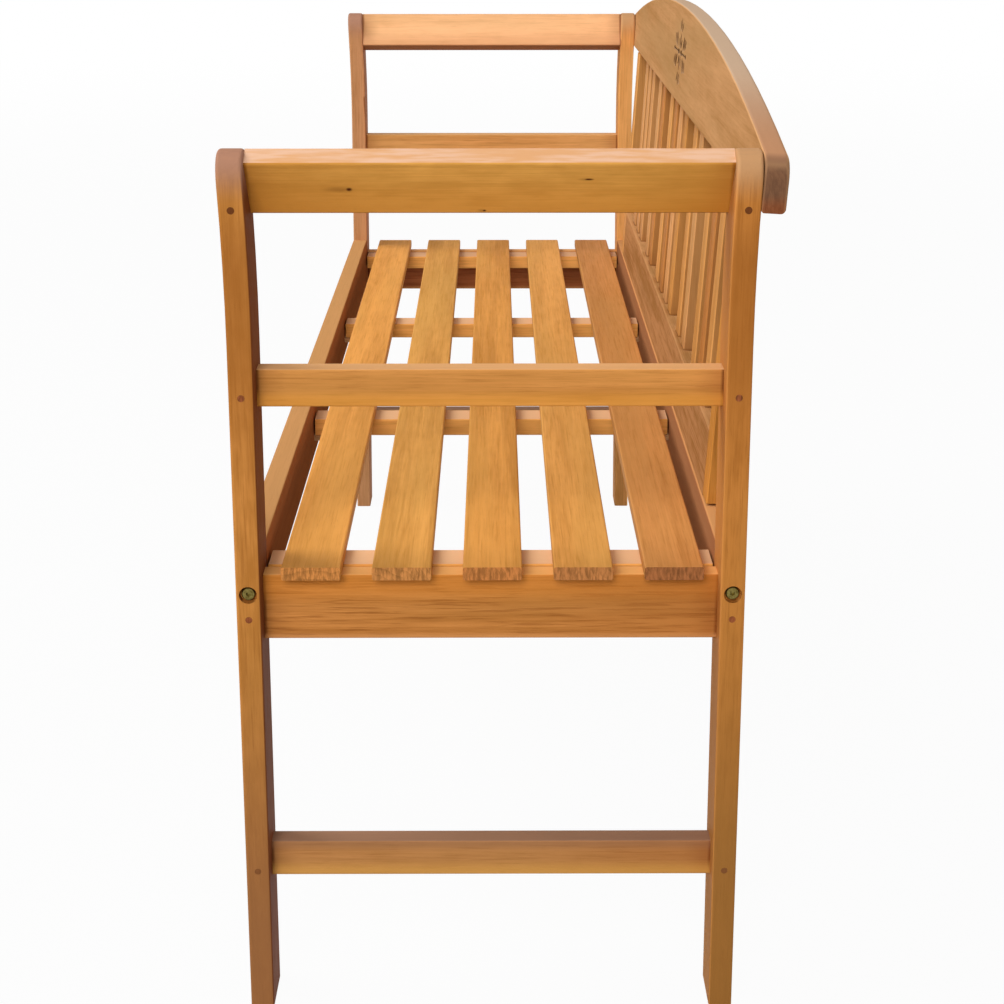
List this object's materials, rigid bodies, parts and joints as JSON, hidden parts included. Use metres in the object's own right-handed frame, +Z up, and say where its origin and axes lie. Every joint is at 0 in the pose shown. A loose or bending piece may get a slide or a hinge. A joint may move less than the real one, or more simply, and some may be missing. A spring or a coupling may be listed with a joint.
{
  "type": "wooden garden bench",
  "caption": "Wooden garden bench with arms, lengthwise seat slats and a reclined slatted back under an arched crest rail, on splayed leg frames with low stretchers.",
  "frame": {"origin": "on the floor, under the middle of the bench's outline", "axes": "+X along the bench to a sitter's left, +Y from the front to the back, +Z up"},
  "size_m": [1.5, 0.481, 0.8756],
  "materials": {
    "hardwood": "oiled",
    "peg_wood": "oiled",
    "bolt_brass": "zinc plated, yellow",
    "nut_steel": "plain"
  },
  "bodies": {
    "root": {"arm_left": "hardwood", "arm_lower_rail_left": "hardwood", "arm_lower_rail_right": "hardwood", "arm_right": "hardwood", "back_dowels": "peg_wood", "back_slat_01": "hardwood", "back_slat_02": "hardwood", "back_slat_03": "hardwood", "back_slat_04": "hardwood", "back_slat_05": "hardwood", "back_slat_06": "hardwood", "back_slat_07": "hardwood", "back_slat_08": "hardwood", "back_slat_09": "hardwood", "back_slat_10": "hardwood", "back_slat_11": "hardwood", "back_slat_12": "hardwood", "back_slat_13": "hardwood", "back_slat_14": "hardwood", "back_slat_15": "hardwood", "back_slat_16": "hardwood", "bearer_pegs": "peg_wood", "crest_bolts": "bolt_brass", "crest_rail": "hardwood", "cross_nuts": "nut_steel", "frame_pegs": "peg_wood", "front_leg_left": "hardwood", "front_leg_right": "hardwood", "front_seat_rail": "hardwood", "lower_back_rail": "hardwood", "rail_bolts": "bolt_brass", "rear_leg_left": "hardwood", "rear_leg_right": "hardwood", "rear_seat_rail": "hardwood", "seat_bearer_1": "hardwood", "seat_bearer_2": "hardwood", "seat_bearer_3": "hardwood", "seat_bearer_4": "hardwood", "seat_side_rail_left": "hardwood", "seat_side_rail_right": "hardwood", "seat_slat_1": "hardwood", "seat_slat_2": "hardwood", "seat_slat_3": "hardwood", "seat_slat_4": "hardwood", "seat_slat_5": "hardwood", "stretcher_left": "hardwood", "stretcher_right": "hardwood"}
  },
  "joints": []
}
